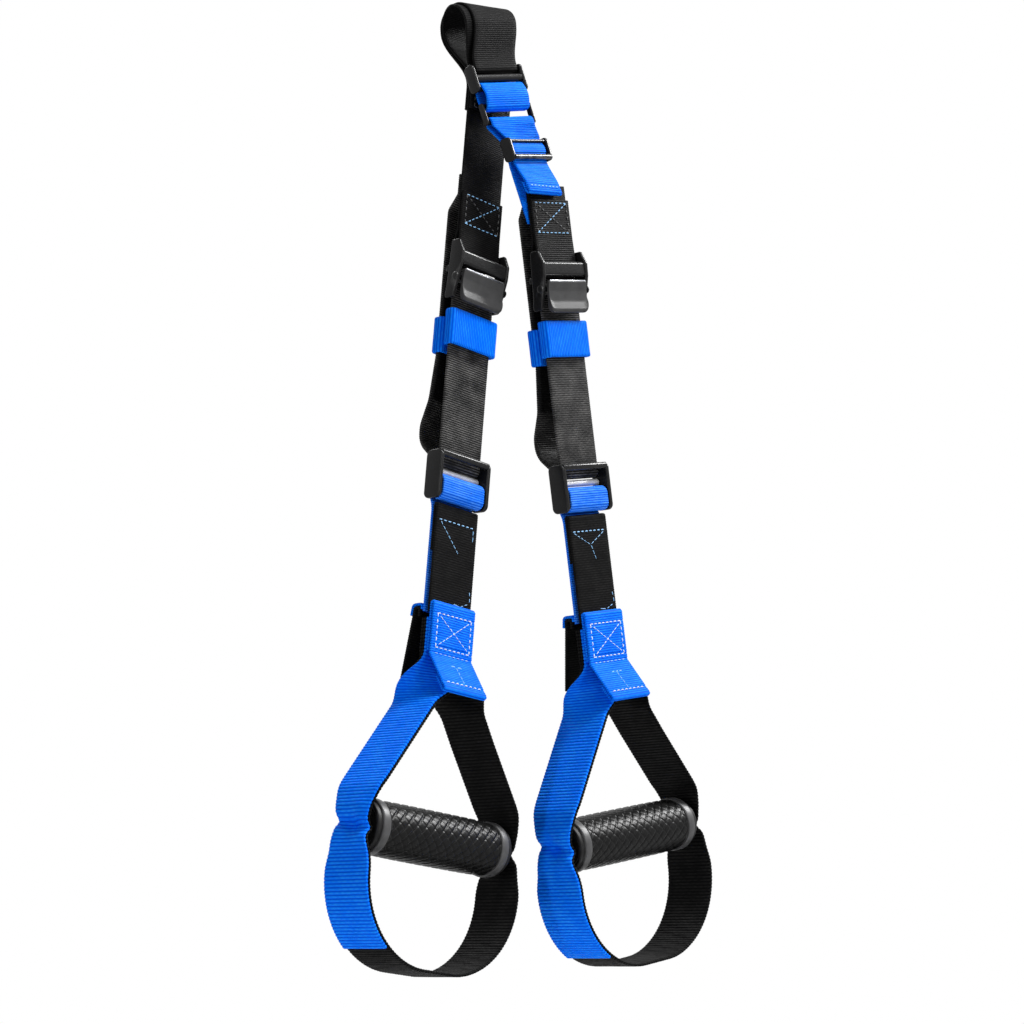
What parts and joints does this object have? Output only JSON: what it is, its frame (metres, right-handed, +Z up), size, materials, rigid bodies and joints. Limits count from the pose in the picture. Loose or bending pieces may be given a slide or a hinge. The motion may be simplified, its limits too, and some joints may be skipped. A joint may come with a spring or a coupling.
{
  "type": "suspension trainer",
  "caption": "Two-leg suspension trainer: anchor loop, adjustable black and blue webbing legs, and handles with foot cradles and foam grips.",
  "frame": {"origin": "inside top of the anchor loop, where it hangs", "axes": "+Z up, -Y the front face of the webbing, +X to the right as seen from the front"},
  "size_m": [0.3063, 0.0706, 0.6487],
  "materials": {
    "webbing_black": "flat woven webbing, charcoal black",
    "webbing_blue": "flat woven webbing, royal blue",
    "hardware_black": "satin black coated steel",
    "lever_satin": "satin dark grey coated steel",
    "steel_bright": "plain bright steel",
    "grip_rubber": "black foam rubber with crossed diagonal grooves",
    "ring_grey": "satin grey moulded ring",
    "cap_black": "black moulded cap",
    "tube_plastic": "dark plastic tube"
  },
  "bodies": {
    "straps": {"anchor_loop": "webbing_black", "anchor_buckle": "hardware_black", "link_loop": "webbing_blue", "link_ring": "hardware_black", "adjuster_strap": "webbing_blue", "strap_slide": "hardware_black", "left_upper_strap": "webbing_black", "left_cam_frame": "hardware_black", "left_cam_pin": "steel_bright", "left_cam_spring": "steel_bright", "left_main_strap": "webbing_black", "left_tail_strap": "webbing_black", "right_upper_strap": "webbing_black", "right_cam_frame": "hardware_black", "right_cam_pin": "steel_bright", "right_cam_spring": "steel_bright", "right_main_strap": "webbing_black", "right_tail_strap": "webbing_black"},
    "left_lever": {"left_cam_lever": "lever_satin"},
    "left_front_sleeve": {"left_front_keeper": "webbing_blue"},
    "left_rear_sleeve": {"left_rear_keeper": "webbing_blue"},
    "left_roller": {"left_slider_roller": "steel_bright"},
    "left_slider": {"left_slider_frame": "hardware_black", "left_slider_rod": "steel_bright", "left_hanger_loop": "webbing_blue"},
    "left_handle": {"left_hanger_back": "webbing_blue", "left_hanger_strap": "webbing_black", "left_front_tab": "webbing_blue", "left_rear_tab": "webbing_black", "left_rear_trim": "webbing_blue", "left_cradle_strap": "webbing_black", "left_side_strap": "webbing_blue", "left_grip_core": "webbing_black"},
    "left_grip": {"left_grip_tube": "tube_plastic", "left_grip_sleeve": "grip_rubber", "left_left_grip_ring": "ring_grey", "left_right_grip_ring": "ring_grey", "left_left_grip_cap": "cap_black", "left_right_grip_cap": "cap_black"},
    "right_lever": {"right_cam_lever": "lever_satin"},
    "right_front_sleeve": {"right_front_keeper": "webbing_blue"},
    "right_rear_sleeve": {"right_rear_keeper": "webbing_blue"},
    "right_roller": {"right_slider_roller": "steel_bright"},
    "right_slider": {"right_slider_frame": "hardware_black", "right_slider_rod": "steel_bright", "right_hanger_loop": "webbing_blue"},
    "right_handle": {"right_hanger_back": "webbing_blue", "right_hanger_strap": "webbing_black", "right_front_tab": "webbing_blue", "right_rear_tab": "webbing_black", "right_rear_trim": "webbing_blue", "right_cradle_strap": "webbing_black", "right_side_strap": "webbing_blue", "right_grip_core": "webbing_black"},
    "right_grip": {"right_grip_tube": "tube_plastic", "right_grip_sleeve": "grip_rubber", "right_left_grip_ring": "ring_grey", "right_right_grip_ring": "ring_grey", "right_left_grip_cap": "cap_black", "right_right_grip_cap": "cap_black"}
  },
  "joints": [
    {"name": "left_lever_press", "type": "hinge", "parent": "straps", "child": "left_lever", "pos_m": [-0.02131, -0.0131, -0.19326], "axis": [0.9854, 0, -0.1702], "range_deg": [0, 14], "stiffness_Nm_per_rad": 0.25},
    {"name": "left_front_sleeve_slide", "type": "slide", "parent": "straps", "child": "left_front_sleeve", "axis": [0.1702, 0, 0.9854], "range_m": [-0.055, 0.004]},
    {"name": "left_rear_sleeve_slide", "type": "slide", "parent": "straps", "child": "left_rear_sleeve", "axis": [0.1702, 0, 0.9854], "range_m": [0, 0.014]},
    {"name": "left_leg_length", "type": "slide", "parent": "straps", "child": "left_roller", "axis": [0, 0, -1], "range_m": [0, 0.03], "deforming": ["left_main_strap", "left_tail_strap"]},
    {"name": "left_slider_tilt", "type": "hinge", "parent": "left_roller", "child": "left_slider", "pos_m": [-0.04224, -0.0043, -0.31446], "axis": [0.9854, 0, -0.1702], "range_deg": [-8, 8]},
    {"name": "left_handle_swing", "type": "hinge", "parent": "left_slider", "child": "left_handle", "pos_m": [-0.04781, -0.0085, -0.34669], "axis": [0.9854, 0, -0.1702], "range_deg": [-25, 25]},
    {"name": "left_grip_spin", "type": "hinge", "parent": "left_handle", "child": "left_grip", "pos_m": [-0.08386, -0.00745, -0.5554], "axis": [0.9854, 0, -0.1702], "continuous": true},
    {"name": "right_lever_press", "type": "hinge", "parent": "straps", "child": "right_lever", "pos_m": [0.03728, -0.0351, -0.1934], "axis": [0.9942, 0, 0.108], "range_deg": [0, 14], "stiffness_Nm_per_rad": 0.25},
    {"name": "right_front_sleeve_slide", "type": "slide", "parent": "straps", "child": "right_front_sleeve", "axis": [-0.108, 0, 0.9942], "range_m": [-0.055, 0.004]},
    {"name": "right_rear_sleeve_slide", "type": "slide", "parent": "straps", "child": "right_rear_sleeve", "axis": [-0.108, 0, 0.9942], "range_m": [0, 0.014]},
    {"name": "right_leg_length", "type": "slide", "parent": "straps", "child": "right_roller", "axis": [0, 0, -1], "range_m": [0, 0.03], "deforming": ["right_main_strap", "right_tail_strap"]},
    {"name": "right_slider_tilt", "type": "hinge", "parent": "right_roller", "child": "right_slider", "pos_m": [0.05057, -0.0263, -0.31568], "axis": [0.9942, 0, 0.108], "range_deg": [-8, 8]},
    {"name": "right_handle_swing", "type": "hinge", "parent": "right_slider", "child": "right_handle", "pos_m": [0.0541, -0.0305, -0.34819], "axis": [0.9942, 0, 0.108], "range_deg": [-25, 25]},
    {"name": "right_grip_spin", "type": "hinge", "parent": "right_handle", "child": "right_grip", "pos_m": [0.07697, -0.02945, -0.55875], "axis": [0.9942, 0, 0.108], "continuous": true}
  ]
}
